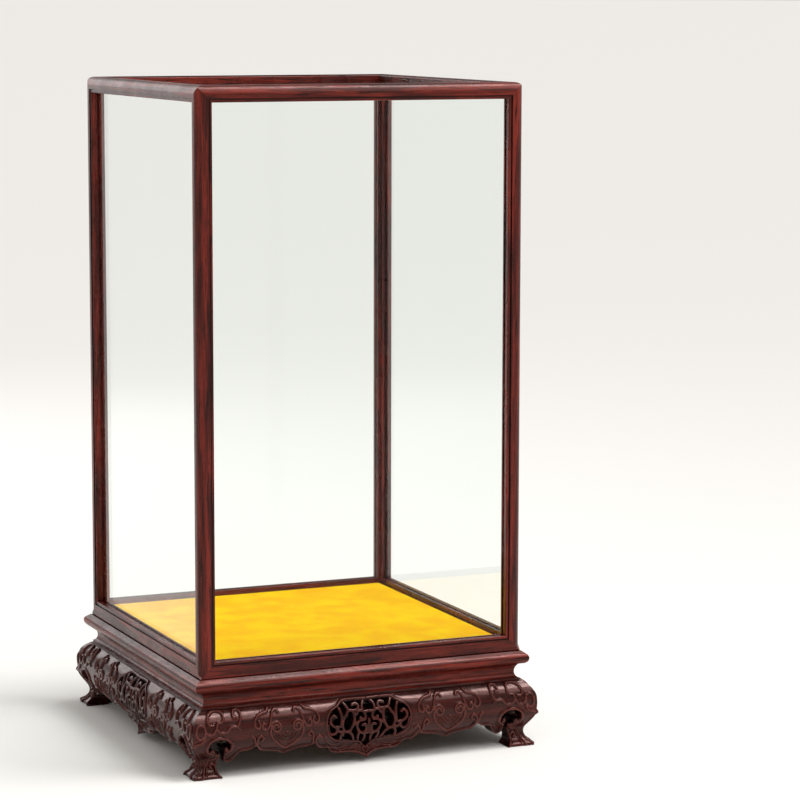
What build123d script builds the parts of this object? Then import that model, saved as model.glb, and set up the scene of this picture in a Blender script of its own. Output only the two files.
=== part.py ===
"""Glass display case: a lift-off glazed hood on a carved hardwood base with a velvet-covered board.

Millimetres, +Z up. The origin is on the floor, under the middle of the case.
The front faces -Y. The case is square, so each side piece is made once, as the
front one, and turned about Z for the other three sides.
"""

import os

from build123d import *

os.makedirs("parts", exist_ok=True)

# Overall sizes
hood_side = 300.0           # outer side of the square hood
hood_height = 500.0
apron_height = 59.5         # floor to the top of the carved aprons
moulding_height = 24.5      # waist and nose of the base's top frame
base_height = apron_height + moulding_height

# Hood frame: every post and rail shows the same face
member_face = 14.3          # width of a post or rail as seen from outside
member_depth = 11.0         # how far a post or rail reaches in from its outer face
edge_round = 7.0            # rounding of the outer edges
lower_edge_round = 1.2      # rounding where the bottom rails meet the base
bead_width = 2.2            # the bead beside the glass
quirk_width = 1.1           # the sunk line beside the bead
quirk_depth = 1.5
bead_setback = 0.9          # the bead stands this far behind the face
bead_round = 0.9

# Glass
pane_thickness = 3.0
pane_setback = 5.8          # outer glass surface behind the frame's outer face
groove_depth = 4.2
groove_side_gap = 0.15      # between the glass and each wall of its groove
groove_end_gap = 0.4        # between a pane's edge and the bottom of its groove

# Dowels across the hood's mitres
dowel_radius = 1.1
dowel_length = 8.0
dowel_hole_gap = 0.05
dowel_along = 9.0           # distance from both mitred outer faces
dowel_across = 4.0          # distance from the third outer face

# Base top frame: a mitred moulding round a loose panel
nose_overhang = 6.0         # nose of the moulding beyond the hood
top_slope_start = 0.8       # flat top continues this far beyond the hood
top_slope_drop = 2.1
nose_height = 8.0
nose_round = 2.1            # how far the nose swells beyond its two edges
nose_under_step = 0.7
cove_start = 0.3            # outer edge of the cove, beyond the hood's face
waist_setback = 4.2         # deepest part of the waist behind the hood's face
moulding_foot_setback = 0.6
moulding_width = 30.0       # nose tip to the inner face
panel_thickness = 8.0
panel_seat = 7.0            # width of the rebate that carries the panel
panel_gap = 0.4
spline_size = (16.0, 9.0, 3.0)
spline_gap = 0.1
spline_setback = 20.0       # centre of a mitre spline behind the nose tip

# Aprons: bulging boards with half a leg at each end
apron_top_setback = 0.7     # top of the apron behind the hood's face
apron_quirk = 2.1           # height of the small step under the waist
apron_bulge = 11.3          # bulge beyond the hood's face
calf_bulge = 2.8            # slimmest part of the leg beyond the hood's face
toe_bulge = 10.1
apron_curve = [             # shares of the bulge and of the height, from the top down
    (0.65, 0.885), (0.94, 0.77), (1.0, 0.64), (0.9, 0.445), (0.52, 0.33),
]
calf_at = 0.2               # slimmest part of the leg, as a share of the height
instep_at = (0.52, 0.09)    # shares of the toe's bulge and of the height
toe_at = 0.03               # top of the toe's flat edge, as a share of the height
spur_tip = (12.6, 30.2)     # pointed leaf at each corner: beyond the hood's face, height
spur_top = (10.9, 33.4)
spur_low = (9.6, 27.0)
spur_length = 11.0          # the leaf, from the corner's tip along the apron
apron_inner_setback = 10.0  # inner face behind the hood's face
foot_inner_at = 16.2        # inner end of a foot, measured from the hood's side face
eye_centre = (13.5, 26.6)   # round opening beside each leg: from the side face, height
eye_radii = (10.0, 6.5)
slit_at = (15.4, 18.4)      # the slit below it: from the side face
foot_undercut = 3.0         # how far a leg's inner edge leans over its foot

# Scalloped edge and pierced panel: right half, along from the apron's middle and up
# from the floor. The points are drawn for a half pattern and a height of these sizes,
# and are stretched to the apron's own.
pattern_half = 131.6
pattern_height = 59.5
scallops = [                # start, middle and end of each arc of the edge
    ((0, 4.3), (8, 7.9), (18, 9.4)),
    ((18, 9.4), (27, 9.3), (33.5, 12)),
    ((33.5, 12), (35, 13.2), (35.5, 15)),
    ((35.5, 15), (42.5, 16.2), (48.5, 22)),
    ((48.5, 22), (52.5, 19.8), (58, 19.4)),
    ((58, 19.4), (68, 17.4), (76, 14)),
    ((76, 14), (84, 17.4), (94, 19.4)),
    ((94, 19.4), (99.5, 20.4), (103.5, 25)),
    ((103.5, 25), (109.5, 21.4), (118, 20.6)),
    ((118, 20.6), (121, 14.4), (127, 11.5)),
    ((127, 11.5), (129.5, 12.2), (131.6, 14.6)),
]
foot_curve = (14.4, 8.0, 2.6)   # heights of the leg's inner edge: top, middle and ankle
panel_holes = [             # centre and the two radii of each hole beside the middle
    ((8.5, 52.0), (3.0, 1.5)),
    ((17.5, 52.2), (3.4, 1.5)),
    ((25.0, 49.3), (2.2, 1.7)),
    ((6.2, 42.5), (3.4, 4.2)),
    ((7.0, 32.5), (3.4, 4.0)),
    ((17.8, 38.0), (4.0, 7.2)),
    ((29.4, 42.4), (4.6, 5.2)),
    ((30.5, 31.8), (4.4, 2.6)),
    ((20.5, 25.8), (4.2, 2.5)),
    ((11.3, 24.4), (2.2, 2.6)),
]
middle_holes = [((0, 50.3), (2.3, 2.31)), ((0, 22.0), (1.7, 3.6))]

# Base interior
block_leg = 18.0            # legs of the triangular corner blocks
block_height = 22.0
batten_width = 22.0
batten_height = 8.0
batten_spacing = 130.0
batten_end_gap = 0.4
batten_screw_inset = 25.0   # end screws, from the top frame's inner face
counterbore_gap = 0.5       # round the heads of the corner blocks' screws

# Velvet-covered board
velvet_gap = 2.1            # between the hood's rails and the covered board
velvet_top = 1.5
velvet_side = 1.0
velvet_edge_round = 1.35
covered_board_height = 10.3
velvet_fold = 9.0           # the velvet turned under the board
velvet_fold_thickness = 0.6
plinth_gap = 0.5            # between the turned-under velvet and the board's middle
board_screw_inset = 50.0    # from the hood's side faces

# Screws: countersunk, all of one kind
screw_radius = 1.5
screw_head_radius = 3.0
screw_head_height = 2.0
screw_gap = 0.05
screw_length = 14.0
screw_bite = 6.0            # thread in the piece that a screw holds

half = hood_side / 2
hood_top = base_height + hood_height
nose_half = half + nose_overhang
apron_inner = half - apron_inner_setback
turns = {"front": 0, "right": 90, "back": 180, "left": 270}
corners = {"front_right": 0, "back_right": 90, "back_left": 180, "front_left": 270}


def save(name, shape):
    export_step(shape, os.path.join("parts", name + ".step"))


def prism(points, plane, reach):
    """A closed outline on a plane, drawn out both ways."""
    return extrude(plane * make_face(Polyline(*points, close=True)), reach, both=True)


def side_wedge(size, height):
    """What lies in front of both diagonals: it cuts both mitres of a front piece."""
    outline = Polyline((0, 0), (size, -size), (-size, -size), close=True)
    return extrude(make_face(outline), height)


def face_run(corner_round):
    """Face of a post or rail: along the face from the outer edge, then depth behind it."""
    bead_start = member_face - bead_width
    quirk_at = bead_start - quirk_width
    bead_end = member_face - bead_round
    return [
        Line((corner_round, 0), (quirk_at, 0)),
        Line((quirk_at, 0), (quirk_at, quirk_depth)),
        Line((quirk_at, quirk_depth), (bead_start, quirk_depth)),
        Line((bead_start, quirk_depth), (bead_start, bead_setback)),
        Line((bead_start, bead_setback), (bead_end, bead_setback)),
        JernArc((bead_end, bead_setback), (1, 0), bead_round, 90),
    ]


def groove_run():
    """Inner edge of a post or rail, from its bead to its back, with the glass groove."""
    near = pane_setback - groove_side_gap
    far = pane_setback + pane_thickness + groove_side_gap
    floor = member_face - groove_depth
    return [Polyline(
        (member_face, bead_setback + bead_round),
        (member_face, near),
        (floor, near),
        (floor, far),
        (member_face, far),
        (member_face, member_depth),
    )]


def angle_section():
    """Section of the posts and top rails, glazed on both inner edges.

    X and Y run inwards from the two outer faces. The inner corner is cut out.
    """
    run = face_run(edge_round) + groove_run()
    run.append(Line((member_face, member_depth), (member_depth, member_depth)))
    swapped = [mirror(edge, Plane((0, 0, 0), z_dir=(1, -1, 0))) for edge in run]
    corner = ThreePointArc(
        (edge_round, 0),
        (edge_round * (1 - 0.5 ** 0.5), edge_round * (1 - 0.5 ** 0.5)),
        (0, edge_round),
    )
    return make_face(Wire(edges_of(run) + edges_of(swapped) + [corner]))


def rail_section():
    """Section of the bottom rails: X runs up the face, Y runs inwards."""
    run = face_run(lower_edge_round) + groove_run()
    run.append(Polyline((member_face, member_depth), (0, member_depth), (0, lower_edge_round)))
    run.append(Line((0, lower_edge_round), (lower_edge_round, 0)))
    return make_face(Wire(edges_of(run)))


def edges_of(curves):
    return [edge for curve in curves for edge in curve.edges()]


def top_rail_blank():
    """Front top rail with both its mitres at each end."""
    corner = Plane((0, -half, hood_top), x_dir=(0, 0, -1), z_dir=(1, 0, 0))
    bar = extrude(corner * angle_section(), half, both=True)
    low = hood_top - member_face
    ends = [(-half, hood_top), (half, hood_top), (half - member_face, low), (member_face - half, low)]
    return bar & prism(ends, Plane.XZ, hood_side) & lifted(side_wedge(hood_side, hood_height), base_height)


def bottom_rail_blank():
    """Front bottom rail with both its mitres at each end."""
    corner = Plane((0, -half, base_height), x_dir=(0, 0, 1), z_dir=(-1, 0, 0))
    bar = extrude(corner * rail_section(), half, both=True)
    high = base_height + member_face
    ends = [
        (-half, base_height), (half, base_height),
        (half - member_face, high), (member_face - half, high),
    ]
    return bar & prism(ends, Plane.XZ, hood_side) & lifted(side_wedge(hood_side, hood_height), base_height)


def post_blank():
    """Front right post, cut back at both ends to clear the two rails' mitres."""
    corner = Plane((half, -half, base_height), x_dir=(0, 1, 0), z_dir=(0, 0, 1))
    bar = extrude(corner * angle_section(), hood_height)
    inner = half - member_face
    front_view = [
        (half, base_height), (half, hood_top),
        (inner, hood_top - member_face), (inner, base_height + member_face),
    ]
    side_view = [(-x, z) for x, z in front_view]
    return bar & prism(front_view, Plane.XZ, hood_side) & prism(side_view, Plane.YZ, hood_side)


def lifted(shape, height):
    return Pos(0, 0, height) * shape


def turned(shape, angle):
    return Rot(0, 0, angle) * shape


def dowel(centre, direction, extra):
    """A round pin through centre. Extra is the hole's gap, and zero for the pin itself."""
    length = dowel_length + 2 * extra
    return Plane(centre, z_dir=direction) * Cylinder(dowel_radius + extra, length)


def corner_dowels(extra):
    """Three pins at each of the hood's front right corners, one across each mitre."""
    pins = []
    for level, inwards in ((base_height, 1), (hood_top, -1)):
        def at(a, b, c):
            return (half - a, -half + b, level + inwards * c)
        long_way, short_way = dowel_along, dowel_across
        pins.append(dowel(at(long_way, long_way, short_way), (-1, -1, 0), extra))
        pins.append(dowel(at(long_way, short_way, long_way), (-1, 0, -inwards), extra))
        pins.append(dowel(at(short_way, long_way, long_way), (0, 1, -inwards), extra))
    return pins


def make_hood():
    holes = [turned(pin, angle) for angle in corners.values() for pin in corner_dowels(dowel_hole_gap)]
    top_rail = top_rail_blank()
    bottom_rail = bottom_rail_blank()
    post = post_blank()
    for name, angle in turns.items():
        save("top_rail_" + name, turned(top_rail, angle) - holes)
        save("bottom_rail_" + name, turned(bottom_rail, angle) - holes)
    for name, angle in corners.items():
        save("post_" + name, turned(post, angle) - holes)
    pins = [turned(pin, angle) for angle in corners.values() for pin in corner_dowels(0)]
    save("hood_dowels", Compound(children=pins))


def make_glass():
    reach = groove_depth - groove_end_gap
    width = hood_side - 2 * (member_face - reach)
    height = hood_height - 2 * (member_face - reach)
    middle = base_height + hood_height / 2
    centre = half - pane_setback - pane_thickness / 2
    side = Pos(0, -centre, middle) * Box(width, pane_thickness, height)
    for name, angle in turns.items():
        save("glass_" + name, turned(side, angle))
    top = hood_top - pane_setback - pane_thickness / 2
    save("glass_top", Pos(0, 0, top) * Box(width, width, pane_thickness))


def moulding_section():
    """Front moulding: X runs outwards from the middle of the case, Y runs up."""
    top = base_height
    slope_top = half + top_slope_start
    nose_top = top - top_slope_drop
    nose_low = nose_top - nose_height
    shoulder = nose_half - nose_round
    under = nose_low - nose_under_step
    waist = half - waist_setback
    waist_mid = apron_height + 0.38 * (under - apron_height)
    inner = nose_half - moulding_width
    ledge = top - panel_thickness
    cove_edge = half + cove_start
    run = [
        Line((slope_top, top), (shoulder, nose_top)),
        ThreePointArc((shoulder, nose_top), (nose_half, nose_top - nose_height / 2), (shoulder, nose_low)),
        Polyline((shoulder, nose_low), (shoulder - nose_under_step, under), (cove_edge, under)),
        ThreePointArc(
            (cove_edge, under),
            (waist + 0.28 * waist_setback, waist_mid + 0.6 * (under - waist_mid)),
            (waist, waist_mid),
        ),
        ThreePointArc(
            (waist, waist_mid),
            (waist + 0.22 * waist_setback, apron_height + 0.4 * (waist_mid - apron_height)),
            (half - moulding_foot_setback, apron_height),
        ),
        Polyline(
            (half - moulding_foot_setback, apron_height),
            (inner, apron_height),
            (inner, ledge),
            (inner + panel_seat, ledge),
            (inner + panel_seat, top),
            (slope_top, top),
        ),
    ]
    return make_face(Wire(edges_of(run)))


def mitre_spline(extra):
    """Loose tongue across the front right mitre of the base's top frame."""
    along, across, thick = (size + 2 * extra for size in spline_size)
    centre = nose_half - spline_setback
    height = base_height - panel_thickness - spline_size[2]
    return Pos(centre, -centre, height) * Rot(0, 0, 45) * Box(along, across, thick)


def screw(extra):
    """Countersunk screw, head down, its head's face at the origin and its shank upwards."""
    shank = Pos(0, 0, screw_length / 2) * Cylinder(screw_radius + extra, screw_length + 2 * extra)
    wide, narrow = screw_head_radius + extra, screw_radius + extra
    head = Pos(0, 0, screw_head_height / 2) * Cone(wide, narrow, screw_head_height)
    return shank + head


def place(shape, spots):
    return [Pos(*spot) * shape for spot in spots]


def batten_spots():
    low = base_height - panel_thickness - batten_height
    reach = nose_half - moulding_width - batten_screw_inset
    return [(x, y, low) for x in (-batten_spacing / 2, batten_spacing / 2) for y in (-reach, 0, reach)]


def block_spots():
    low = apron_height - (screw_length - screw_bite)
    at = apron_inner - block_leg / 3
    return [(x, y, low) for x in (-at, at) for y in (-at, at)]


def board_spots():
    at = half - board_screw_inset
    return [(x, y, base_height - panel_thickness) for x in (-at, at) for y in (-at, at)]


def make_base_top():
    section = Plane((0, 0, 0), x_dir=(0, -1, 0), z_dir=(-1, 0, 0)) * moulding_section()
    bar = extrude(section, nose_half, both=True) & side_wedge(2 * nose_half, base_height)
    pockets = [turned(mitre_spline(spline_gap), angle) for angle in corners.values()]
    screw_holes = place(screw(screw_gap), block_spots())
    for name, angle in turns.items():
        save("moulding_" + name, turned(bar, angle) - pockets - screw_holes)
    splines = [turned(mitre_spline(0), angle) for angle in corners.values()]
    save("moulding_splines", Compound(children=splines))

    panel_side = 2 * (nose_half - moulding_width + panel_seat - panel_gap)
    panel = Pos(0, 0, base_height - panel_thickness / 2) * Box(panel_side, panel_side, panel_thickness)
    board_holes = place(screw(screw_gap), board_spots())
    batten_holes = place(screw(screw_gap), batten_spots())
    save("deck_panel", panel - board_holes - batten_holes)

    length = 2 * (nose_half - moulding_width - batten_end_gap)
    batten_mid = base_height - panel_thickness - batten_height / 2
    for name, x in (("left", -batten_spacing / 2), ("right", batten_spacing / 2)):
        batten = Pos(x, 0, batten_mid) * Box(batten_width, length, batten_height)
        save("batten_" + name, batten - batten_holes)
    save("batten_screws", Compound(children=place(screw(0), batten_spots())))


def apron_section():
    """Front apron: X runs outwards from the middle of the case, Y runs up."""
    top = half - apron_top_setback
    quirk = apron_height - apron_quirk
    toe = half + toe_bulge
    toe_top = toe_at * apron_height
    upper = [(half + out * apron_bulge, up * apron_height) for out, up in apron_curve]
    calf = (half + calf_bulge, calf_at * apron_height)
    instep = (half + instep_at[0] * toe_bulge, instep_at[1] * apron_height)
    outside = Spline((top, quirk), *upper, calf, instep, (toe, toe_top))
    rest = Polyline(
        (toe, toe_top),
        (toe, 0),
        (apron_inner, 0),
        (apron_inner, apron_height),
        (top, apron_height),
        (top, quirk),
    )
    return make_face(Wire(edges_of([outside, rest])))


def on_pattern(point):
    """A point of the scalloped edge or pierced panel, stretched to the apron's size."""
    along = (half - slit_at[1]) / pattern_half
    return point[0] * along, point[1] * apron_height / pattern_height


def arch_cutter():
    """Everything below the right half of an apron's scalloped edge: X along, Y up."""
    foot = half - foot_inner_at
    slit_near, slit_far = half - slit_at[1], half - slit_at[0]
    eye_z = on_pattern(eye_centre)[1]
    slit_top = eye_z - eye_radii[1] / 2
    leg_top, leg_mid, ankle = (on_pattern((0, z))[1] for z in foot_curve)
    edge = [ThreePointArc(*(on_pattern(point) for point in arc)) for arc in scallops]
    start, end = on_pattern(scallops[0][0]), on_pattern(scallops[-1][2])
    edge.append(Polyline(end, (slit_near, slit_top), (slit_far, slit_top), (slit_far, leg_top)))
    edge.append(ThreePointArc((slit_far, leg_top), (foot + foot_undercut, leg_mid), (foot, ankle)))
    edge.append(Polyline((foot, ankle), (foot, -apron_height), (0, -apron_height), start))
    return make_face(Wire(edges_of(edge)))


def hole(centre, radii):
    return Pos(*on_pattern(centre)) * Ellipse(*on_pattern(radii))


def leaf_spur():
    """Half of the pointed leaf at the apron's right corner, drawn up to its mitre."""
    rise = apron_height / pattern_height
    outline = [(half + out, rise * up) for out, up in (spur_tip, spur_top, spur_low)]
    face = Plane((0, 0, 0), x_dir=(0, -1, 0), z_dir=(-1, 0, 0)) * make_face(Polyline(*outline, close=True))
    corner = half + spur_tip[0]
    leaf = extrude(face, corner, both=True)
    tip, start = (corner, -corner), (corner - spur_length, -half - spur_low[0])
    plan = Polyline(tip, start, (half, -half), close=True)
    return leaf & extrude(make_face(plan), apron_height)


def apron_blank():
    section = Plane((0, 0, 0), x_dir=(0, -1, 0), z_dir=(-1, 0, 0)) * apron_section()
    size = half + apron_bulge
    board = extrude(section, size, both=True) & side_wedge(2 * size, apron_height)
    eye = Pos(half - eye_centre[0], on_pattern(eye_centre)[1]) * Ellipse(*eye_radii)
    half_view = [arch_cutter(), eye] + [hole(*sizes) for sizes in panel_holes]
    middle = [hole(*sizes) for sizes in middle_holes]
    views = half_view + [mirror(face, Plane.YZ) for face in half_view] + middle
    cutters = [extrude(Plane.XZ * face, 2 * size) for face in views]
    spur = leaf_spur()
    return (board - cutters) + spur + mirror(spur, Plane.YZ)


def make_aprons():
    apron = apron_blank()
    for name, angle in turns.items():
        save("apron_" + name, turned(apron, angle))
    corner, inner = apron_inner, apron_inner - block_leg
    outline = Polyline((corner, -corner), (corner, -inner), (inner, -corner), close=True)
    block = lifted(extrude(make_face(outline), block_height), apron_height - block_height)
    screw_holes = place(screw(screw_gap), block_spots())
    counterbores = [
        Pos(x, y, z - block_height / 2) * Cylinder(screw_head_radius + counterbore_gap, block_height)
        for x, y, z in block_spots()
    ]
    for name, angle in corners.items():
        save("corner_block_" + name, turned(block, angle) - screw_holes - counterbores)
    save("block_screws", Compound(children=place(screw(0), block_spots())))


def make_velvet_board():
    outer = half - member_depth - velvet_gap
    core = outer - velvet_side
    low = base_height + velvet_fold_thickness
    core_height = covered_board_height - velvet_top - velvet_fold_thickness
    board = Pos(0, 0, low + core_height / 2) * Box(2 * core, 2 * core, core_height)
    covered = Box(2 * outer, 2 * outer, covered_board_height)
    whole = Pos(0, 0, base_height + covered_board_height / 2) * covered
    whole = fillet(whole.edges().group_by(Axis.Z)[-1], velvet_edge_round)
    window = 2 * (outer - velvet_fold)
    turned_under = Pos(0, 0, base_height) * Box(window, window, 2 * velvet_fold_thickness)
    save("velvet_cover", whole - board - turned_under)
    backing = Pos(0, 0, base_height + velvet_fold_thickness / 2)
    plinth_side = window - 2 * plinth_gap
    plinth = backing * Box(plinth_side, plinth_side, velvet_fold_thickness)
    board_holes = place(screw(screw_gap), board_spots())
    save("velvet_board", board + plinth - board_holes)
    save("board_screws", Compound(children=place(screw(0), board_spots())))


make_hood()
make_glass()
make_base_top()
make_aprons()
make_velvet_board()
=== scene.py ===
"""Looks of a glass display case: a lift-off glazed hood on a carved rosewood base.

Metres, +Z up. The front faces -Y and the origin is on the floor, under the middle.
The carving is drawn in millimetres on the front apron's right half, along from the
apron's middle and up from the floor. It is mirrored, and turned for the other sides.
"""

import math

import bpy
import numpy as np
from mathutils import Matrix, Vector
from mathutils.geometry import delaunay_2d_cdt


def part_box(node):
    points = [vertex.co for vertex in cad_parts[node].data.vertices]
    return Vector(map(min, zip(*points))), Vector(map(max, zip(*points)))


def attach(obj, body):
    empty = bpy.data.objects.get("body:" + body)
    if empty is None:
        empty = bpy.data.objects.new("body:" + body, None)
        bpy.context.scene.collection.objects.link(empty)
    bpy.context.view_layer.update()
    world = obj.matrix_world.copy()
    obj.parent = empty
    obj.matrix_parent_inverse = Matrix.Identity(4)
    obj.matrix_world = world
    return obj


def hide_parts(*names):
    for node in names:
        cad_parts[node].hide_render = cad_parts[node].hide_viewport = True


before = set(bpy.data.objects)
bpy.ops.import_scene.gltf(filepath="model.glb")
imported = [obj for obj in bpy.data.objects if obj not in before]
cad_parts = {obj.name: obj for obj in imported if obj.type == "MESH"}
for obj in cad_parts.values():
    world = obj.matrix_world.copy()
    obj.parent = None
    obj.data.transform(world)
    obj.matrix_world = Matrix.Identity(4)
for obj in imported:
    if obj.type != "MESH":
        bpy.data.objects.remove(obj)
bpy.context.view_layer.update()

MM = 0.001
SIDES = {"front": 0, "right": 90, "back": 180, "left": 270}
CORNERS = ("front_right", "back_right", "back_left", "front_left")

# Sizes read from the model, in millimetres
HALF = -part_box("top_rail_front")[0].y / MM
APRON_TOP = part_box("apron_front")[1].z / MM
APRON_BACK = -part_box("apron_front")[1].y / MM


# Camera and light

CAMERA_AZIMUTH, CAMERA_ELEVATION, CAMERA_ROLL = -23.55, 7.68, 0.11
CAMERA_PLACE = (-0.98078, -2.47699, 0.65594)
CAMERA_LENS = 134.3
FLOOR_RADII = (3.0, 30.0, 1500.0)
SUN_TOWARDS = (0.396, -0.134, 0.908)
SUN_POWER, SUN_SIZE = 2.0, 24
WORLD_LIGHT, WORLD_COLOR = 0.45, (1.0, 0.985, 0.96, 1)
FLOOR_SIDES = 64
FLOOR_COLOR = (0.86, 0.84, 0.81, 1)
# Each lamp: its name, its place, the point it aims at, its width and height, its power
LAMPS = [
    ("left_window", (-1.8, -1.4, 1.3), (0, 0, 0.3), (1.0, 1.0), 4),
    ("back_window", (-0.75, 1.9, 1.08), (0, 0, 0.15), (1.2, 1.2), 9),
    ("front_softbox", (0.8, -1.15, 1.5), (0, 0, 0.05), (1.1, 1.2), 13),
]


def make_camera():
    azimuth, elevation = math.radians(CAMERA_AZIMUTH), math.radians(CAMERA_ELEVATION)
    flat = math.cos(elevation)
    back = Vector((math.sin(azimuth) * flat, -math.cos(azimuth) * flat, math.sin(elevation)))
    right = Vector((0, 0, 1)).cross(back).normalized()
    turn = Matrix.Rotation(math.radians(CAMERA_ROLL), 3, back)
    axes = turn @ Matrix((right, back.cross(right), back)).transposed()
    camera = bpy.data.objects.new("camera", bpy.data.cameras.new("camera"))
    camera.data.lens = CAMERA_LENS
    camera.matrix_world = Matrix.Translation(CAMERA_PLACE) @ axes.to_4x4()
    bpy.context.scene.collection.objects.link(camera)
    bpy.context.scene.camera = camera


def area_light(name, place, aim, size, power):
    light = bpy.data.lights.new(name, "AREA")
    light.shape = "RECTANGLE"
    light.size, light.size_y = size
    light.energy = power
    lamp = bpy.data.objects.new(name, light)
    turn = (Vector(aim) - Vector(place)).to_track_quat("-Z", "Y").to_matrix().to_4x4()
    lamp.matrix_world = Matrix.Translation(place) @ turn
    lamp.visible_camera = False
    bpy.context.scene.collection.objects.link(lamp)


def make_studio():
    world = bpy.data.worlds.new("studio")
    world.use_nodes = True
    background = world.node_tree.nodes["Background"]
    background.inputs["Color"].default_value = WORLD_COLOR
    background.inputs["Strength"].default_value = WORLD_LIGHT
    bpy.context.scene.world = world
    bpy.context.scene.view_settings.view_transform = "Standard"
    sun = bpy.data.lights.new("soft_sun", "SUN")
    sun.energy, sun.angle = SUN_POWER, math.radians(SUN_SIZE)
    lamp = bpy.data.objects.new("soft_sun", sun)
    lamp.rotation_euler = Vector(SUN_TOWARDS).to_track_quat("Z", "Y").to_euler()
    bpy.context.scene.collection.objects.link(lamp)
    for lamp_settings in LAMPS:
        area_light(*lamp_settings)


def make_floor():
    """A disc under the case, with two wider rings round it that reach the horizon."""
    turns = np.linspace(0, 2 * math.pi, FLOOR_SIDES, endpoint=False)
    points = [Vector((math.cos(a), math.sin(a), 0)) * radius for radius in FLOOR_RADII for a in turns]
    faces = [tuple(range(FLOOR_SIDES))]
    for inner in range(0, FLOOR_SIDES * (len(FLOOR_RADII) - 1), FLOOR_SIDES):
        outer = inner + FLOOR_SIDES
        for k in range(FLOOR_SIDES):
            after = (k + 1) % FLOOR_SIDES
            faces.append((inner + k, outer + k, outer + after, inner + after))
    floor = add_mesh("floor", points, faces)
    material, tree = new_material("floor_paper")
    shader = tree.nodes["Principled BSDF"]
    shader.inputs["Base Color"].default_value = FLOOR_COLOR
    shader.inputs["Roughness"].default_value = 0.8
    floor.data.materials.append(material)


# Mesh and node helpers

def add_mesh(name, vertices, faces):
    mesh = bpy.data.meshes.new(name)
    mesh.from_pydata([tuple(v) for v in vertices], [], faces)
    mesh.update()
    piece = bpy.data.objects.new(name, mesh)
    bpy.context.scene.collection.objects.link(piece)
    return piece


def new_material(name):
    material = bpy.data.materials.new(name)
    material.use_nodes = True
    return material, material.node_tree


class Graph:
    """Short calls for the nodes of one material."""

    def __init__(self, name):
        self.material, tree = new_material(name)
        self.nodes, self.links = tree.nodes, tree.links
        self.shader = self.nodes["Principled BSDF"]

    def add(self, kind, values=(), **settings):
        node = self.nodes.new(kind)
        for key, value in settings.items():
            setattr(node, key, value)
        for key, value in dict(values).items():
            if isinstance(value, bpy.types.NodeSocket):
                self.links.new(value, node.inputs[key])
            else:
                node.inputs[key].default_value = value
        return node

    def math(self, operation, first, second=0.5, third=0.5):
        node = self.add("ShaderNodeMath", {0: first, 1: second, 2: third}, operation=operation)
        return node.outputs[0]

    def spread(self, value, low, high, new_low=0.0, new_high=1.0):
        sizes = {"Value": value, "From Min": low, "From Max": high}
        sizes.update({"To Min": new_low, "To Max": new_high})
        return self.add("ShaderNodeMapRange", sizes, interpolation_type="SMOOTHSTEP").outputs[0]

    def noise(self, vector, scale, detail=3.0, distortion=0.0):
        sizes = {"Vector": vector, "Scale": scale, "Detail": detail, "Distortion": distortion}
        return self.add("ShaderNodeTexNoise", sizes).outputs["Fac"]

    def mix(self, factor, first, second, blend="MIX"):
        node = self.add("ShaderNodeMix", data_type="RGBA", blend_type=blend)
        for key, value in ((0, factor), (6, first), (7, second)):
            if isinstance(value, bpy.types.NodeSocket):
                self.links.new(value, node.inputs[key])
            else:
                node.inputs[key].default_value = value
        return node.outputs[2]

    def coordinates(self, scale=(1, 1, 1), offset=(0, 0, 0)):
        place = self.add("ShaderNodeTexCoord").outputs["Object"]
        sizes = {"Vector": place, "Scale": scale, "Location": offset}
        return self.add("ShaderNodeMapping", sizes).outputs[0]

    def bump(self, height, distance, strength=1.0, normal=None):
        sizes = {"Height": height, "Distance": distance, "Strength": strength}
        if normal is not None:
            sizes["Normal"] = normal
        return self.add("ShaderNodeBump", sizes).outputs[0]

    def set(self, **values):
        for key, value in values.items():
            socket = self.shader.inputs[key.replace("_", " ")]
            if isinstance(value, bpy.types.NodeSocket):
                self.links.new(value, socket)
            else:
                socket.default_value = value


# Materials

WOOD_DARK = (0.009, 0.0032, 0.0030, 1)
WOOD_MID = (0.038, 0.0050, 0.0040, 1)
WOOD_BRIGHT = (0.200, 0.0220, 0.0130, 1)
# Painted highlight: a lighter pinkish brown laid on the crests of the carved lines
CREST_HIGHLIGHT_PAINT = (0.120, 0.031, 0.023, 1)
# Painted shade for the sunk line beside the hood's beads
SUNK_LINE_SHADE = (0.004, 0.0015, 0.0015, 1)
GRAIN_STRETCH = 0.05
GLASS_GLOSS = 0.007

# The hood's sunk line, which is painted dark as shade, in millimetres: its place from the outer face
# and its soft edges
SUNK_LINE_AT = 11.55
SUNK_LINE_CORE, SUNK_LINE_END = 0.45, 0.75
OUTER_FACE_DEPTH = 1.8
HOOD_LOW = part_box("bottom_rail_front")[0].z / MM
HOOD_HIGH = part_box("top_rail_front")[1].z / MM
HOOD_MIDDLE, HOOD_HALF_HEIGHT = (HOOD_LOW + HOOD_HIGH) / 2, (HOOD_HIGH - HOOD_LOW) / 2


def sunk_line(graph, axis):
    """Mask of the painted shade in the sunk line beside the bead of a frame member that runs along one
    axis.
    """
    place = graph.add("ShaderNodeTexCoord").outputs["Object"]
    level = graph.add("ShaderNodeSeparateXYZ", {0: place}).outputs[:2]
    across = [graph.math("ABSOLUTE", distance) for distance in level]
    height = graph.add("ShaderNodeSeparateXYZ", {0: place}).outputs[2]
    from_middle = graph.math("ABSOLUTE", graph.math("SUBTRACT", height, HOOD_MIDDLE * MM))
    across.append(graph.math("SUBTRACT", from_middle, (HOOD_HALF_HEIGHT - HALF) * MM))
    across.pop(axis)
    inner = graph.math("MINIMUM", across[0], across[1])
    outer = graph.math("MAXIMUM", across[0], across[1])
    off_line = graph.math("ABSOLUTE", graph.math("SUBTRACT", inner, (HALF - SUNK_LINE_AT) * MM))
    on_line = graph.spread(off_line, SUNK_LINE_CORE * MM, SUNK_LINE_END * MM, 1.0, 0.0)
    outside = graph.math("GREATER_THAN", outer, (HALF - OUTER_FACE_DEPTH) * MM)
    return graph.math("MULTIPLY", on_line, outside)


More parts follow.
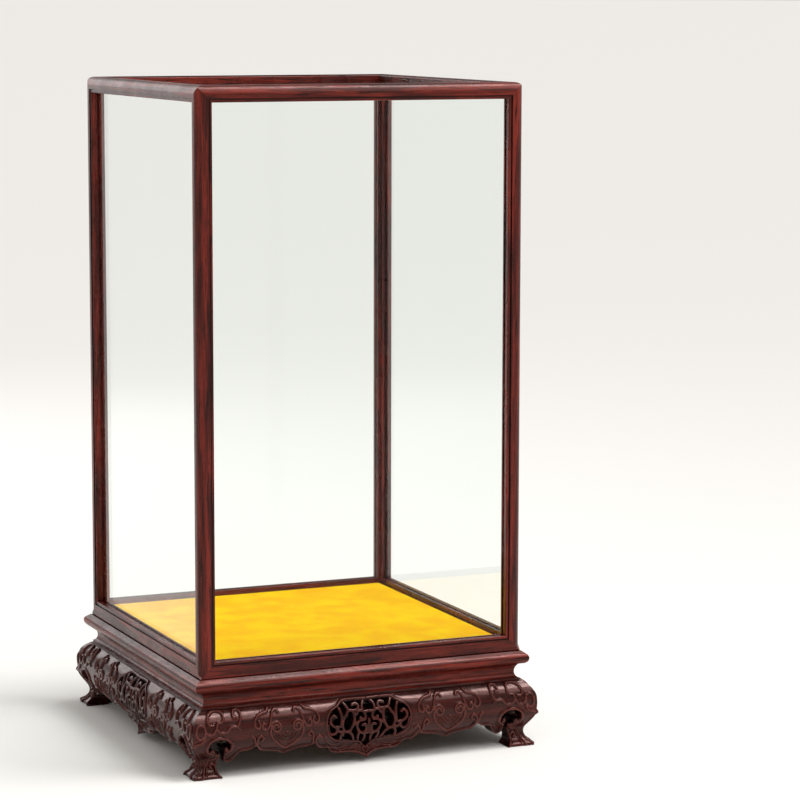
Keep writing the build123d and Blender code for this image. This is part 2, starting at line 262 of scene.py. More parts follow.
def rosewood(name, axis, seed, carved=False, lined=False):
    """Lacquered red-brown wood, with dark streaks along one axis. Carved pieces get painted shade in
    their grooves and painted highlights on their crests; lined pieces get painted shade in their sunk
    line.
    """
    graph = Graph(name)
    stretch = [1.0, 1.0, 1.0]
    stretch[axis] = GRAIN_STRETCH
    shift = (seed * 0.37, seed * 0.61, seed * 0.83)
    along = graph.coordinates(tuple(stretch), shift)
    bands = graph.noise(along, 150, 5, 0.9)
    streaks = graph.noise(along, 420, 5, 1.2)
    fibres = graph.noise(along, 1900, 3)
    stretch[axis] = GRAIN_STRETCH / 2
    pores = graph.noise(graph.coordinates(tuple(stretch), shift), 3600, 1)
    bright = graph.spread(bands, 0.36, 0.66, 0.0, 0.55 if carved else 1.0)
    color = graph.mix(bright, WOOD_MID, WOOD_BRIGHT)
    dark = graph.spread(streaks, 0.46, 0.68, 0.0, 0.5 if carved else 0.92)
    color = graph.mix(dark, color, WOOD_DARK)
    grey = graph.spread(fibres, 0.25, 0.75, 0.72, 1.12)
    fibre_tone = graph.add("ShaderNodeCombineColor", {0: grey, 1: grey, 2: grey}).outputs[0]
    color = graph.mix(1.0, color, fibre_tone, "MULTIPLY")
    pore_mask = graph.spread(pores, 0.60, 0.70)
    color = graph.mix(graph.math("MULTIPLY", pore_mask, 0.7), color, WOOD_DARK)
    height = graph.math("SUBTRACT", graph.math("MULTIPLY", fibres, 0.4), pore_mask)
    if carved:
        relief = graph.add("ShaderNodeAttribute", attribute_name="relief").outputs["Fac"]
        # Painted shade, partly dark lacquer settled there: the wood darkens towards the darkest streak
        # colour in the grooves and sunk ground beside the raised lines
        groove = graph.spread(relief, -0.45, 0.1, 0.9, 0.0)
        color = graph.mix(groove, color, WOOD_DARK)
        color = graph.mix(1.0, color, (0.44, 0.36, 0.33, 1), "MULTIPLY")
        # Painted highlight: the crests of the raised lines are mixed towards a lighter pinkish brown
        color = graph.mix(graph.spread(relief, 0.45, 1.5, 0.0, 0.5), color, CREST_HIGHLIGHT_PAINT)
    if lined:
        # Painted shade: the sunk line beside the bead is darkened to near black
        color = graph.mix(graph.math("MULTIPLY", sunk_line(graph, axis), 0.9), color, SUNK_LINE_SHADE)
    wear = graph.noise(graph.coordinates((1, 1, 1), shift), 45, 3)
    smoothest = 0.17 if carved else 0.24
    roughness = graph.spread(wear, 0.3, 0.7, smoothest, smoothest + 0.1)
    normal = graph.bump(height, 0.00012, 0.35)
    graph.set(Base_Color=color, Roughness=roughness, Normal=normal)
    graph.set(Specular_IOR_Level=0.42 if carved else 0.3, Specular_Tint=(1.0, 0.55, 0.5, 1))
    graph.set(Coat_Weight=0.05, Coat_Roughness=0.15, IOR=1.5)
    return graph.material


def plain_wood(name, axis, low, high, grain=150):
    """Bare planed softwood or fibreboard for the hidden pieces."""
    graph = Graph(name)
    stretch = [1.0, 1.0, 1.0]
    stretch[axis] = 0.08
    along = graph.coordinates(tuple(stretch))
    bands = graph.noise(along, grain, 4, 0.6)
    fibres = graph.noise(along, 2200, 2)
    color = graph.mix(graph.spread(bands, 0.3, 0.7), low, high)
    roughness = graph.spread(fibres, 0.3, 0.7, 0.62, 0.78)
    graph.set(Base_Color=color, Roughness=roughness, Normal=graph.bump(fibres, 0.0001, 0.5))
    return graph.material


def velvet():
    """Short golden pile, brushed lighter and darker."""
    graph = Graph("velvet")
    place = graph.coordinates()
    patches = graph.noise(place, 38, 4, 0.4)
    brushed = graph.noise(graph.coordinates((0.5, 1, 1)), 420, 3, 0.3)
    pile = graph.noise(place, 5200, 2)
    color = graph.mix(graph.spread(patches, 0.35, 0.66), (0.95, 0.49, 0.0, 1), (1.0, 0.65, 0.001, 1))
    color = graph.mix(graph.spread(brushed, 0.40, 0.75, 0.0, 0.5), color, (0.90, 0.38, 0.0, 1))
    color = graph.mix(graph.spread(pile, 0.55, 0.8, 0.0, 0.35), color, (0.85, 0.36, 0.0, 1))
    height = graph.math("ADD", graph.math("MULTIPLY", brushed, 0.6), graph.math("MULTIPLY", pile, 0.5))
    graph.set(Base_Color=color, Roughness=0.92, Normal=graph.bump(height, 0.0004, 0.5))
    graph.set(Sheen_Weight=0.06, Sheen_Roughness=0.4, Sheen_Tint=(1.0, 0.7, 0.02, 1))
    graph.set(Specular_IOR_Level=0.05)
    return graph.material


def clear_glass():
    """Clear float glass that lets the light through, with a faint green tint."""
    graph = Graph("glass")
    graph.nodes.remove(graph.shader)
    see_through = graph.add("ShaderNodeBsdfTransparent", {"Color": (0.982, 0.994, 0.989, 1)})
    gloss = graph.add("ShaderNodeBsdfAnisotropic", {"Color": (1, 1, 1, 1), "Roughness": 0.0})
    facing = graph.add("ShaderNodeLayerWeight").outputs["Facing"]
    schlick = graph.math("MULTIPLY_ADD", graph.math("POWER", facing, 5.0), 0.9, GLASS_GLOSS)
    parts = {0: schlick, 1: see_through.outputs[0], 2: gloss.outputs[0]}
    mixed = graph.add("ShaderNodeMixShader", parts)
    graph.links.new(mixed.outputs[0], graph.nodes["Material Output"].inputs["Surface"])
    return graph.material


def zinc_steel():
    graph = Graph("zinc_steel")
    cloud = graph.noise(graph.coordinates(), 900, 3)
    graph.set(Base_Color=(0.62, 0.63, 0.62, 1), Metallic=1.0)
    graph.set(Roughness=graph.spread(cloud, 0.3, 0.7, 0.3, 0.5), Normal=graph.bump(cloud, 0.00005, 0.4))
    return graph.material


# Curves of the carving

def between(t, low, high, first, last):
    """The point at t on a line that runs from first at low to last at high."""
    return (high - t) / (high - low) * first + (t - low) / (high - low) * last


def smooth(points, step=0.5):
    """A curve through given points, closed where the last repeats the first."""
    points = np.array(points, float)
    closed = np.allclose(points[0], points[-1])
    before = points[-2] if closed else 2 * points[0] - points[1]
    after = points[1] if closed else 2 * points[-1] - points[-2]
    padded = np.vstack([before, points, after])
    samples = []
    for p0, p1, p2, p3 in zip(padded, padded[1:], padded[2:], padded[3:]):
        count = max(2, int(np.linalg.norm(p2 - p1) / step))
        spans = ((p0, p1), (p1, p2), (p2, p3))
        gaps = [max(math.sqrt(np.linalg.norm(b - a)), 1e-6) for a, b in spans]
        k0, k1, k2, k3 = np.cumsum([0] + gaps)
        t = np.linspace(k1, k2, count, endpoint=False)[:, None]
        a1 = between(t, k0, k1, p0, p1)
        a2 = between(t, k1, k2, p1, p2)
        a3 = between(t, k2, k3, p2, p3)
        b1 = between(t, k0, k2, a1, a2)
        b2 = between(t, k1, k3, a2, a3)
        samples.append(between(t, k1, k2, b1, b2))
    samples.append(points[-1:])
    return np.vstack(samples)


def curl(centre, radius, start, turns, shrink=0.35):
    """Points of a spiral that winds in about a centre. Start is in degrees."""
    steps = max(4, int(abs(turns) * 12))
    angles = np.radians(start) + 2 * math.pi * turns * np.linspace(0, 1, steps)
    radii = radius * (1 - (1 - shrink) * np.linspace(0, 1, steps))
    x, z = centre
    return [(x + r * math.cos(a), z + r * math.sin(a)) for a, r in zip(angles, radii)]


def distance_to_path(places, path, reach):
    """Distance of each place from a path, and infinity beyond reach of its box."""
    distance = np.full(len(places), np.inf)
    low, high = path.min(0) - reach, path.max(0) + reach
    near = np.where(((places > low) & (places < high)).all(1))[0]
    if len(path) == 1:
        distance[near] = np.linalg.norm(places[near] - path[0], axis=1)
        return distance
    for group in np.array_split(near, max(1, len(near) * len(path) // 4_000_000 + 1)):
        start, run = path[:-1], np.diff(path, axis=0)
        offset = places[group][:, None] - start[None]
        share = np.clip((offset * run).sum(2) / np.maximum((run * run).sum(1), 1e-12), 0, 1)
        distance[group] = np.sqrt(((offset - share[..., None] * run) ** 2).sum(2).min(1))
    return distance


def inside(places, outline):
    """Which places lie inside a closed outline."""
    result = np.zeros(len(places), bool)
    x, z = places[:, 0], places[:, 1]
    for (x1, z1), (x2, z2) in zip(outline, np.roll(outline, -1, axis=0)):
        if z1 != z2:
            crosses = (z1 > z) != (z2 > z)
            result ^= crosses & (x < (x2 - x1) * (z - z1) / (z2 - z1) + x1)
    return result


def depth_inside(places, outline):
    """Signed distance from a closed outline, positive inside."""
    closed = np.vstack([outline, outline[:1]])
    distance = distance_to_path(places, closed, 9)
    return np.where(inside(places, outline), distance, -distance)


# Carving: the apron's outer curve, as height and reach beyond the hood's face
GROUND = [
    (0.0, 9.5), (2.0, 9.4), (5.2, 5.2), (8.5, 2.8), (12.5, 2.0), (16.0, 2.8), (20.0, 5.4),
        (24.0, 8.2),
    (28.0, 10.3), (33.0, 11.1), (42.0, 11.2), (47.4, 9.8), (50.8, 8.3), (54.5, 5.0), (57.2, 1.2),
]
QUIRK_LOW, QUIRK_HIGH, QUIRK_OUT = 57.3, 57.5, -0.7

# Carving: the scalloped lower edge, then up the leg's inner edge
SCALLOPS = [
    [(0, 4.3), (8, 7.7), (18, 9.2), (27, 9.4), (33.5, 12.0), (35.5, 15.0)],
    [(35.5, 15.0), (42.5, 16.2), (46.5, 19.0), (48.5, 22.0)],
    [(48.5, 22.0), (52.5, 19.9), (58, 19.2), (68, 17.4), (76, 14.0)],
    [(76, 14.0), (84, 17.4), (94, 19.2), (99.5, 20.4), (103.5, 25.0)],
    [(103.5, 25.0), (109.5, 21.6), (115, 21.2), (118, 20.0)],
    [(118, 20.0), (120, 15.8), (123, 12.8), (127, 11.4), (131.4, 13.6)],
    [(131.4, 13.6), (131.7, 17.5), (131.6, 24.0)],
    [(134.6, 24.0), (134.8, 17.5), (135.8, 13.4), (137.0, 9.0), (136.4, 4.6), (133.8, 0.8),
        (133.8, 0.0)],
]
EYE, EYE_RADII = (136.5, 27.2), (10.0, 6.4)
EYE_KNOBS = [((142.3, 22.6), 2.6), ((130.2, 24.2), 2.2)]

# Carving: the pierced panel's edge and its strands
PANEL = [
    (0, 55.0), (22, 54.9), (26.0, 52.6), (29.5, 50.6), (34.0, 48.4), (37.4, 43.5), (38.2, 36.0),
    (36.4, 29.5), (31.5, 24.8), (25.0, 22.2), (15.0, 21.2), (7.0, 20.0), (2.6, 16.5), (0, 14.0),
]
STRANDS = [
    [(30.6, 43.4), (32.6, 44.6), (35.3, 42.9), (35.6, 38.7), (31.7, 35.0), (26.6, 35.0),
        (25.3, 40), (25.8, 46.5), (27.2, 50.4)],
    [(21.0, 44.6), (23.6, 41.2), (24.6, 35.8), (22.6, 30.8), (18.8, 29.6), (15.5, 34.0),
        (13.4, 40.5), (14.2, 46.4)],
    [(38.0, 36.4), (36.8, 30.4), (33.2, 28.4), (30.0, 30.4), (30.2, 34.6)],
    [(14.2, 46.4), (12.2, 44.0), (9.0, 47.2), (5.2, 46.4), (3.2, 42.6), (4.6, 39.0), (8.0, 41.0)],
    [(4.6, 39.0), (7.4, 39.0), (10.4, 37.2), (11.0, 33.4), (8.6, 29.0), (4.6, 27.2), (2.4, 30.6),
        (3.2, 34.6), (6.2, 34.4)],
    [(14.6, 52.2), (11.4, 53.2), (9.0, 51.0), (10.6, 48.4), (14.3, 47.6), (18.5, 48.0),
        (21.0, 44.6)],
    [(18.5, 48.0), (20.0, 51.2), (22.4, 54.8)],
    [(15.5, 34.0), (12.6, 36.6), (10.4, 37.2)],
    [(18.8, 29.6), (15.2, 26.4), (12.6, 21.0)],
    [(22.6, 30.8), (25.4, 26.6), (25.6, 22.4)],
    [(30.2, 34.6), (27.0, 30.4), (22.6, 30.8)],
    [(8.6, 29.0), (9.4, 25.0), (8.4, 20.2)],
    [(0, 27.0), (4.6, 27.2)], [(0, 46.2), (5.2, 46.4), (5.6, 51.6), (3.2, 55.0)],
    [(0, 39.4), (0, 27.0)], [(3.4, 19.0), (2.9, 23.5), (4.6, 27.2)],
]
STRAND_WIDTH = 1.5
PANEL_SINK = 0.9

# Carving: raised lines. Each has its half width and height, then its points
LINE, FINE, RIM = (1.2, 1.75), (0.85, 1.15), (1.05, 1.4)
RUYI_AT = 76.0
RUYI = [
    (LINE, [(0, 21.0), (4.2, 23.2), (8.6, 26.8), (13.0, 31.0), (15.0, 36.6),
        (14.0, 42.0)] + curl((9.8, 40.0), 5.1, 22, 1.45)),
    (LINE, [(7.0, 52.0), (8.8, 54.2), (12.0, 53.0), (13.9, 48.8), (15.3, 44.0), (17.4, 40.0),
        (20.2, 38.7), (22.4, 41.4), (21.4, 44.4), (19.6, 43.6)]),
    (LINE, [(15.2, 55.6), (17.7, 53.2), (22.6, 52.2), (27.0, 50.0), (29.3, 46.0), (28.6, 42.0),
        (25.8, 40.4), (24.2, 43.2), (25.2, 46.2)]),
    (FINE, [(2.2, 26.6), (6.4, 29.4), (9.2, 33.0)]),
    (FINE, [(3.4, 30.6), (6.8, 33.6)]),
]
RUYI_DOTS = [((0, 35.4), 1.3), ((2.1, 32.9), 1.0), ((0, 30.6), 0.8)]
CORNER_LINES = [
    (LINE, [(137.4, 48.0), (134.4, 48.4), (132.7, 51.6), (133.6, 55.4), (137.4, 57.0),
        (141.8, 56.4), (145.6, 53.8), (147.2, 49.8), (145.4, 46.7), (142.6, 46.6)]),
    (LINE, [(138.4, 48.2), (139.5, 43.8), (137.2, 40.6), (133.6, 39.4), (130.0, 40.6),
        (127.4, 43.6), (124.2, 44.3), (121.6, 44.0), (118.8, 47.2), (117.0, 52.2), (117.6, 55.6),
        (120.0, 56.8), (122.9, 55.4), (123.8, 51.6), (121.6, 51.2)]),
    (LINE, [(150.6, 47.6), (149.6, 42.4), (146.2, 38.8), (142.8, 39.4), (140.6, 42.6)]),
    (LINE, [(152.2, 37.0), (154.8, 35.4), (157.2, 38.2), (158.0, 42.4), (156.4, 46.4),
        (153.2, 47.6), (150.4, 45.0), (150.0, 39.6), (151.6, 34.6), (154.6, 32.2), (158.4, 31.2)]),
    (FINE, [(118.4, 41.4), (121.0, 43.8), (124.0, 44.4)]),
    (RIM, [(147.0, 25.6), (146.0, 31.4), (142.0, 34.8), (137.2, 35.7), (131.6, 34.0),
        (127.2, 29.4), (125.6, 24.0)]),
    (RIM, [(136.6, 22.0), (137.8, 17.5), (139.0, 16.5), (144.0, 15.0), (147.5, 10.0),
        (149.8, 4.0), (152.0, 1.0)]),
    (FINE, [(139.6, 12.6), (144.3, 12.2), (146.3, 7.7), (147.6, 3.3)]),
    (LINE, [(138.2, 6.0), (138.8, 10.0), (141.6, 11.6), (143.4, 9.4), (141.8, 7.6)]),
]
CORNER_DOTS = [((142.2, 46.8), 1.4), ((137.6, 48.2), 1.4), ((121.4, 51.4), 1.3),
        ((152.4, 36.8), 1.2), ((141.6, 8.4), 1.0)]
JUNCTION_LINES = [
    (LINE, [(98.9, 29.8), (97.4, 31.8), (99.4, 34.0), (102.2, 32.4), (102.9, 28.8), (101.5, 24.6),
        (98.6, 21.6)]),
    (LINE, [(107.6, 34.4), (105.8, 32.6), (104.8, 29.0), (103.6, 26.0)]),
    (LINE, [(54.6, 30.2), (56.6, 31.8), (54.0, 34.1), (51.8, 31.2), (51.4, 26.6), (50.6, 22.6)]),
    (LINE, [(43.4, 27.4), (46.2, 29.2), (48.6, 26.4), (47.2, 21.6), (43.0, 17.2)]),
    (FINE, [(18.0, 19.6), (23.0, 15.6), (30.0, 14.8), (37.0, 17.8)]),
    (FINE, [(10.0, 17.6), (16.0, 13.4), (24.0, 12.0)]),
    (FINE, [(26.6, 19.4), (31.6, 18.4), (38.2, 22.4), (41.2, 28.4)]),
    (FINE, [(0, 7.6), (2.6, 10.4), (2.2, 12.8), (0, 12.0)]),
    (FINE, [(4.6, 16.2), (6.4, 11.6), (12.0, 9.9)]),
]
JUNCTION_DOTS = [((107.9, 34.6), 1.3), ((99.2, 30.0), 1.1), ((54.8, 30.4), 1.1), ((43.2, 27.4), 1.1)]
BEADS = [((0, z), 1.25) for z in (38.0, 35.6, 33.2, 30.8)]
DOT_RISE = 1.5
PATH_REACH = 3

# Carving: the groove beside a raised line. Its place and spread are in half widths
GROOVE_DEPTH, GROOVE_AT, GROOVE_SPREAD = 0.75, 1.4, 0.42

# Carving: the pierced strands and beads, and the rims round the panel and along the edge
STRAND_RISE, STRAND_SHOULDER, BEAD_RISE = 1.7, 0.2, 1.9
RIM_RISE, PANEL_RIM_OUT, EDGE_RIM_INSET = 1.2, 1.1, 1.25
EDGE_GROOVE_DEPTH, EDGE_GROOVE_IN, EDGE_GROOVE_SPREAD = 0.3, 1.5, 0.5
PANEL_MARGIN = 2.5
EDGE_ROUNDING, EDGE_DROP = 0.7, 0.55

# Carving: the leaf's spur at the corner, and the border line up the leg
SPUR_TIP, SPUR_REACH, SPUR_RISE = 30.2, 9.0, 1.5
BORDER_INSET, BORDER = 1.3, (0.8, 0.75)

# Carving: spacing of the mesh
FINE_STEP, COARSE_STEP, CUT_STEP = 0.42, 1.3, 0.33
FINE_REACH, FINE_EDGE, FINE_PANEL = 1.7, 2.2, 2.6
RIM_CLEARANCE = 0.2
BACK_STEP, BACK_CLEARANCE, BACK_COLUMN_STEP = 3.2, 0.8, 1.5


def ground(height):
    """Reach of the apron's plain surface from the case's middle, at a height."""
    heights, outs = np.array(GROUND).T
    slopes = np.gradient(outs, heights)
    height = np.asarray(height, float)
    index = np.clip(np.searchsorted(heights, height) - 1, 0, len(heights) - 2)
    width = heights[index + 1] - heights[index]
    t = np.clip((height - heights[index]) / width, 0, 1)
    start = (1 + 2 * t) * (1 - t) ** 2 * outs[index] + t * (1 - t) ** 2 * width * slopes[index]
    end = t * t * (3 - 2 * t) * outs[index + 1] + t * t * (t - 1) * width * slopes[index + 1]
    curve = start + end
    share = np.clip((height - QUIRK_LOW) / (QUIRK_HIGH - QUIRK_LOW), 0, 1)
    return HALF + curve * (1 - share) + QUIRK_OUT * share


def arch_outline():
    """Everything open below the scalloped edge, closed below the floor."""
    edge = np.vstack([smooth(points) for points in SCALLOPS])
    return np.vstack([[(-9, -9), (-9, 4.3)], edge, [(133.8, -9)]])


def cut_depth(places, arch, panel, strands):
    """How far each place is inside the wood. It is negative in the openings."""
    wood = -depth_inside(places, arch)
    eye = (np.linalg.norm((places - EYE) / EYE_RADII, axis=1) - 1) * min(EYE_RADII)
    for centre, radius in EYE_KNOBS:
        eye = np.maximum(eye, radius - np.linalg.norm(places - centre, axis=1))
    wood = np.minimum(wood, eye)
    away = np.min([distance_to_path(places, path, PATH_REACH) for path in strands], axis=0)
    strand = STRAND_WIDTH - away
    for centre, radius in BEADS:
        strand = np.maximum(strand, radius - np.linalg.norm(places - centre, axis=1))
    return np.minimum(wood, np.maximum(-depth_inside(places, panel), strand))


def contour(depth, xs, zs):
    """Marching squares: points and edges of the line where depth is zero."""
    points, edges, known = [], [], {}

    def crossing(i, j, vertical):
        key = (i, j, vertical)
        if key not in known:
            a, b = depth[j, i], depth[j + vertical, i + (not vertical)]
            t = a / (a - b)
            step = xs[1] - xs[0]
            known[key] = len(points)
            points.append((xs[i] + (not vertical) * t * step, zs[j] + vertical * t * step))
        return known[key]

    sign = depth > 0
    here = sign[:-1, :-1]
    changes = (here != sign[1:, :-1]) | (here != sign[:-1, 1:]) | (here != sign[1:, 1:])
    for j, i in zip(*np.nonzero(changes)):
        sides = []
        if sign[j, i] != sign[j, i + 1]:
            sides.append(crossing(i, j, 0))
        if sign[j, i + 1] != sign[j + 1, i + 1]:
            sides.append(crossing(i + 1, j, 1))
        if sign[j + 1, i] != sign[j + 1, i + 1]:
            sides.append(crossing(i, j + 1, 0))
        if sign[j, i] != sign[j + 1, i]:
            sides.append(crossing(i, j, 1))
        edges += list(zip(sides[::2], sides[1::2]))
    return points, edges


def lattice(step, width, height):
    """Staggered points that fill a rectangle."""
    rows = []
    for row, z in enumerate(np.arange(step / 2, height, step * math.sqrt(3) / 2)):
        xs = np.arange(step * (0.5 + 0.5 * (row % 2)), width, step)
        rows.append(np.column_stack([xs, np.full_like(xs, z)]))
    return np.vstack(rows)


def carving():
    """Every raised line and dot of the right half, as half width, height and path."""
    drawn = []
    for (width, rise), points in RUYI:
        for flip in (1, -1):
            path = smooth(points) * (flip, 1) + (RUYI_AT, 0)
            drawn.append((width, rise, path))
    for (width, rise), points in CORNER_LINES + JUNCTION_LINES:
        drawn.append((width, rise, smooth(points)))
    for (x, z), radius in RUYI_DOTS:
        drawn += [(radius, DOT_RISE, np.array([(RUYI_AT + flip * x, z)])) for flip in (1, -1)]
    for centre, radius in CORNER_DOTS + JUNCTION_DOTS:
        drawn.append((radius, DOT_RISE, np.array([centre])))
    heights = np.linspace(2, SPUR_TIP, 60)
    drawn.append((*BORDER, np.column_stack([ground(heights) - BORDER_INSET, heights])))
    return drawn


def ridge(away, power):
    """Cross-section of a raised line: 1 on its middle and 0 from its edge on."""
    return np.clip(1 - away ** 2, 0, 1) ** power


def raise_relief(places, depth, drawn, strands, panel):
    """Height of the carving over the plain surface, in millimetres."""
    relief = np.zeros(len(places))
    for width, rise, path in drawn:
        away = distance_to_path(places, path, PATH_REACH) / width
        with np.errstate(over="ignore", invalid="ignore"):
            bead = rise * ridge(away, 0.75)
            off_groove = (np.minimum(away, 9) - GROOVE_AT) / GROOVE_SPREAD
            groove = -GROOVE_DEPTH * np.exp(-off_groove ** 2)
        beside = np.where(relief > 0, relief, np.minimum(relief, groove))
        relief = np.where(bead > 0, np.maximum(relief, bead), beside)
    panel_depth = depth_inside(places, panel)
    strand = np.min([distance_to_path(places, path, PATH_REACH) for path in strands], axis=0)
    round_strand = STRAND_RISE * ridge(strand / (STRAND_WIDTH + STRAND_SHOULDER), 0.5)
    for centre, radius in BEADS:
        away = np.linalg.norm(places - centre, axis=1) / radius
        round_strand = np.maximum(round_strand, BEAD_RISE * ridge(away, 0.5))
    sunk = round_strand - PANEL_SINK
    relief = np.where(panel_depth > 0, sunk, relief)
    panel_rim = RIM_RISE * ridge(panel_depth + PANEL_RIM_OUT, 0.75)
    relief = np.maximum(relief, np.where(panel_depth < 0, panel_rim, -9))
    edge_rim = RIM_RISE * ridge(depth - EDGE_RIM_INSET, 0.75)
    off_groove = (depth - EDGE_RIM_INSET - EDGE_GROOVE_IN) / EDGE_GROOVE_SPREAD
    edge_groove = -EDGE_GROOVE_DEPTH * np.exp(-off_groove ** 2)
    outer = panel_depth < -PANEL_MARGIN
    relief = np.where(outer & (edge_rim > 0), np.maximum(relief, edge_rim), relief)
    grooved = outer & (edge_rim <= 0) & (relief <= 0)
    relief = np.where(grooved, np.minimum(relief, edge_groove), relief)
    rounding = np.clip(1 - depth / EDGE_ROUNDING, 0, 1)
    relief -= EDGE_DROP * rounding ** 2
    corner = np.maximum(0, 1 - (ground(places[:, 1]) - places[:, 0]) / SPUR_REACH)
    away = np.abs(places[:, 1] - SPUR_TIP) / (0.6 + 2.2 * corner)
    spur = SPUR_RISE * corner ** 1.5 * np.clip(1 - away ** 1.5, 0, 1)
    relief = np.maximum(relief, np.where(corner > 0, spur, -9))
    return relief * np.clip((QUIRK_LOW - places[:, 1]) / 0.8, 0, 1)


def unique_edges(faces):
    edges = np.sort(np.vstack([faces[:, [0, 1]], faces[:, [1, 2]], faces[:, [2, 0]]]), axis=1)
    return np.unique(edges, axis=0, return_counts=True)


def near_carving(cloud, depth, panel, drawn):
    """Which points lie near a raised line, an edge of the wood or the pierced panel."""
    away = np.min([distance_to_path(cloud, path, PATH_REACH) for _, _, path in drawn], axis=0)
    by_edge = depth < EDGE_RIM_INSET + FINE_EDGE
    return (away < FINE_REACH) | by_edge | (depth_inside(cloud, panel) > -FINE_PANEL)


def carve_half(arch, panel, strands, drawn):
    """Flat mesh of the apron's right half, drawn finer where it is carved."""
    width = float(ground(33.0)) + 3
    xs, zs = np.arange(-0.6, width, CUT_STEP), np.arange(-0.6, APRON_TOP + 1, CUT_STEP)
    grid = np.column_stack([a.ravel() for a in np.meshgrid(xs, zs)])
    depth = cut_depth(grid, arch, panel, strands).reshape(len(zs), len(xs))
    depth[np.abs(depth) < 0.01] = 0.01
    points, edges = contour(depth, xs, zs)
    corner_heights = np.append(np.arange(0, QUIRK_LOW, 0.45), [QUIRK_LOW, QUIRK_HIGH, APRON_TOP])
    rim = [(0.0, APRON_TOP), (0.0, 0.0)] + [(float(ground(z)), z) for z in corner_heights]
    first = len(points)
    points += rim
    edges += [(first + k, first + (k + 1) % len(rim)) for k in range(len(rim))]
    for z in (QUIRK_LOW, QUIRK_HIGH):
        edges.append((len(points), len(points) + 1))
        points += [(0.0, z), (float(ground(z)), z)]
    for step, fine in ((FINE_STEP, True), (COARSE_STEP, False)):
        cloud = lattice(step, width, APRON_TOP)
        cloud_depth = cut_depth(cloud, arch, panel, strands)
        keep = near_carving(cloud, cloud_depth, panel, drawn) == fine
        keep &= cloud_depth > RIM_CLEARANCE
        keep &= cloud[:, 0] < ground(cloud[:, 1]) - RIM_CLEARANCE
        points += [tuple(p) for p in cloud[keep]]
    found, _, faces, _, _, _ = delaunay_2d_cdt([Vector(p) for p in points], edges, [], 0, 1e-5)
    places = np.array([tuple(p) for p in found])
    faces = np.array([f for f in faces if len(f) == 3])
    middle = places[faces].mean(1)
    keep = (middle[:, 0] > 0) & (middle[:, 1] > 0) & (middle[:, 1] < APRON_TOP)
    keep &= (middle[:, 0] < ground(middle[:, 1])) & (cut_depth(middle, arch, panel, strands) > 0)
    faces = faces[keep]
    used, faces = np.unique(faces, return_inverse=True)
    return places[used], faces.reshape(-1, 3)


def mirrored(places, faces):
    """The half and its mirror image, joined down the middle."""
    places[np.abs(places[:, 0]) < 1e-3, 0] = 0
    other = np.where(places[:, 0] == 0, np.arange(len(places)), -1)
    moved = np.where(other < 0)[0]
    other[moved] = len(places) + np.arange(len(moved))
    return np.vstack([places, places[moved] * (-1, 1)]), np.vstack([faces, other[faces][:, ::-1]])


def back_faces(places, rim_edges, depth_of):
    """Coarse flat mesh between the same rim points."""
    rim = np.unique(rim_edges)
    order = {int(v): k for k, v in enumerate(rim)}
    edges = [(order[int(a)], order[int(b)]) for a, b in rim_edges]
    extra = lattice(BACK_STEP, 2 * HALF + 30, APRON_TOP) - (HALF + 15, 0)
    reach = ground(extra[:, 1]) - BACK_CLEARANCE
    heights = np.arange(1.0, APRON_TOP - 1, BACK_COLUMN_STEP)
    columns = [np.column_stack([np.full(len(heights), s * APRON_BACK), heights]) for s in (-1, 1)]
    extra = np.vstack([extra[np.abs(extra[:, 0]) < reach], *columns])
    right_half = np.column_stack([np.abs(extra[:, 0]), extra[:, 1]])
    extra = extra[depth_of(right_half) > BACK_CLEARANCE]
    flat = np.vstack([places[rim], extra])
    found, _, faces, _, _, _ = delaunay_2d_cdt([Vector(p) for p in flat], edges, [], 0, 1e-6)
    if len(found) != len(flat):
        raise ValueError("the back of the apron has other points than its front")
    faces = [tuple(f) for f in faces]
    walls = {frozenset(e) for e in edges}
    beside = {}
    for k, face in enumerate(faces):
        for a, b in zip(face, face[1:] + face[:1]):
            beside.setdefault(frozenset((a, b)), []).append(k)
    state, queue = {}, []
    for edge, owners in beside.items():
        if len(owners) == 1 and owners[0] not in state:
            state[owners[0]] = edge in walls
            queue.append(owners[0])
    while queue:
        k = queue.pop()
        face = faces[k]
        for a, b in zip(face, face[1:] + face[:1]):
            edge = frozenset((a, b))
            for other in beside[edge]:
                if other not in state:
                    state[other] = state[k] != (edge in walls)
                    queue.append(other)
    return rim, flat, [faces[k] for k in range(len(faces)) if state[k]]


